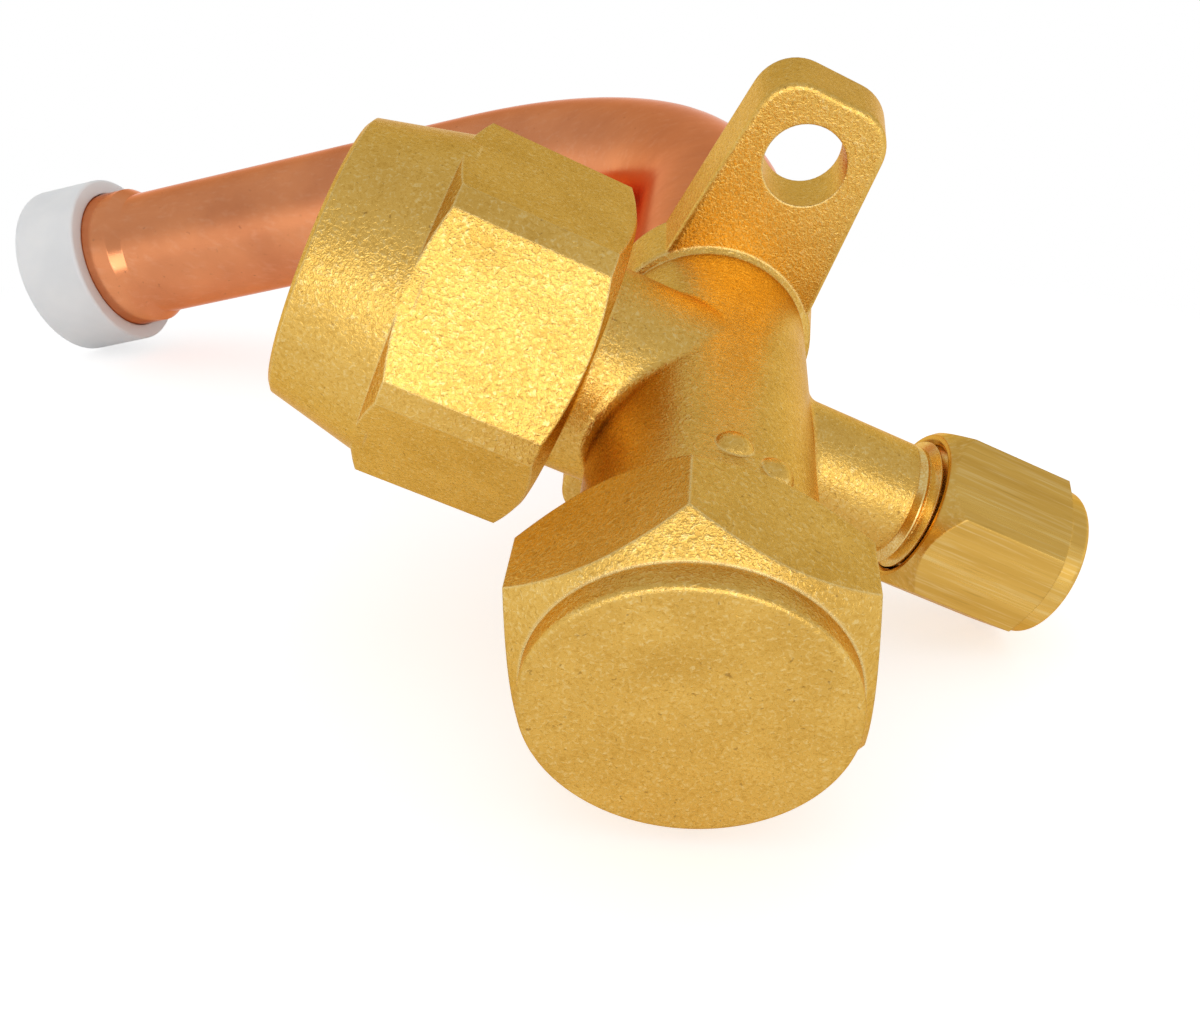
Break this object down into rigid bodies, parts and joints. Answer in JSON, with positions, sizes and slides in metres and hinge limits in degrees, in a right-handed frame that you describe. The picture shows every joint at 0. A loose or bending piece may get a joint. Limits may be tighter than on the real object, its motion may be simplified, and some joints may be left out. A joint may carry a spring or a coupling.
{
  "type": "refrigerant service valve",
  "caption": "Forged brass three-way service valve with a hexagonal spindle cap, flare nut, capped service port, lug flange and bent copper tube.",
  "frame": {"origin": "centre of the flange's mounting face, on the spindle's axis, midway between the two lug holes", "axes": "+Y out of the mounting face along the brazed tube, -Y along the spindle to its cap, -X along the flare outlet, +X along the service port, +Z towards the upper lug"},
  "size_m": [0.1301, 0.1292, 0.1051],
  "materials": {
    "forged_brass": "shot-blasted forged brass with a fine grain",
    "drawn_brass": "drawn hexagon bar with fine lengthwise lines",
    "turned_brass": "bright turned brass",
    "copper": "satin soft copper tube",
    "braze_alloy": "smooth braze fillet",
    "natural_plastic": "translucent natural polyethylene",
    "white_nylon": "white nylon or PTFE",
    "black_rubber": "black nitrile rubber",
    "spring_steel": "spring steel"
  },
  "bodies": {
    "valve": {"valve_body": "forged_brass", "outlet_tube": "copper", "braze_fillet": "braze_alloy", "retaining_ring": "spring_steel", "core_barrel": "turned_brass", "core_gasket": "white_nylon"},
    "spindle_rings": {"spindle_o_ring": "black_rubber", "spindle_backup_ring": "white_nylon"},
    "spindle": {"spindle": "turned_brass"},
    "cap_gasket": {"stem_cap_gasket": "white_nylon"},
    "stem_cap": {"stem_cap": "forged_brass"},
    "bonnet": {"flare_bonnet": "copper"},
    "flare_nut": {"flare_nut": "forged_brass"},
    "service_seal": {"service_cap_seal": "black_rubber"},
    "service_cap": {"service_cap": "drawn_brass"},
    "core_pin": {"core_pin": "turned_brass", "poppet_seal": "black_rubber", "core_spring": "spring_steel"},
    "tube_cap": {"tube_cap": "natural_plastic"}
  },
  "joints": [
    {"name": "spindle_travel", "type": "slide", "parent": "valve", "child": "spindle_rings", "axis": [0, -1, 0], "range_m": [0, 0.007]},
    {"name": "spindle_turn", "type": "hinge", "parent": "spindle_rings", "child": "spindle", "pos_m": [0, -0.021, 0], "axis": [0, -1, 0], "range_deg": [0, 2520]},
    {"name": "stem_cap_travel", "type": "slide", "parent": "valve", "child": "cap_gasket", "axis": [0, -1, 0], "range_m": [0, 0.009]},
    {"name": "stem_cap_turn", "type": "hinge", "parent": "cap_gasket", "child": "stem_cap", "pos_m": [0, -0.052, 0], "axis": [0, -1, 0], "range_deg": [0, 2160]},
    {"name": "flare_nut_travel", "type": "slide", "parent": "valve", "child": "bonnet", "axis": [-1, 0, 0], "range_m": [0, 0.01088]},
    {"name": "flare_nut_turn", "type": "hinge", "parent": "bonnet", "child": "flare_nut", "pos_m": [-0.025, -0.021, 0], "axis": [-1, 0, 0], "range_deg": [0, 2160]},
    {"name": "service_cap_travel", "type": "slide", "parent": "valve", "child": "service_seal", "axis": [1, 0, 0], "range_m": [0, 0.00889]},
    {"name": "service_cap_turn", "type": "hinge", "parent": "service_seal", "child": "service_cap", "pos_m": [0.03, -0.021, 0], "axis": [1, 0, 0], "range_deg": [0, 2520]},
    {"name": "core_pin_push", "type": "slide", "parent": "valve", "child": "core_pin", "axis": [-1, 0, 0], "range_m": [0, 0.0008], "stiffness_N_per_m": 300, "springref_m": -0.002, "deforming": ["core_spring"]},
    {"name": "tube_cap_pull", "type": "slide", "parent": "valve", "child": "tube_cap", "axis": [-0.7826, 0, -0.6225], "range_m": [0, 0.014]}
  ],
  "couplings": [
    {"joint": "spindle_turn", "follows": "spindle_travel", "rad_per_m": 6283.2},
    {"joint": "stem_cap_turn", "follows": "stem_cap_travel", "rad_per_m": 4188.8},
    {"joint": "flare_nut_turn", "follows": "flare_nut_travel", "rad_per_m": 3463.7},
    {"joint": "service_cap_turn", "follows": "service_cap_travel", "rad_per_m": 4947.4}
  ]
}
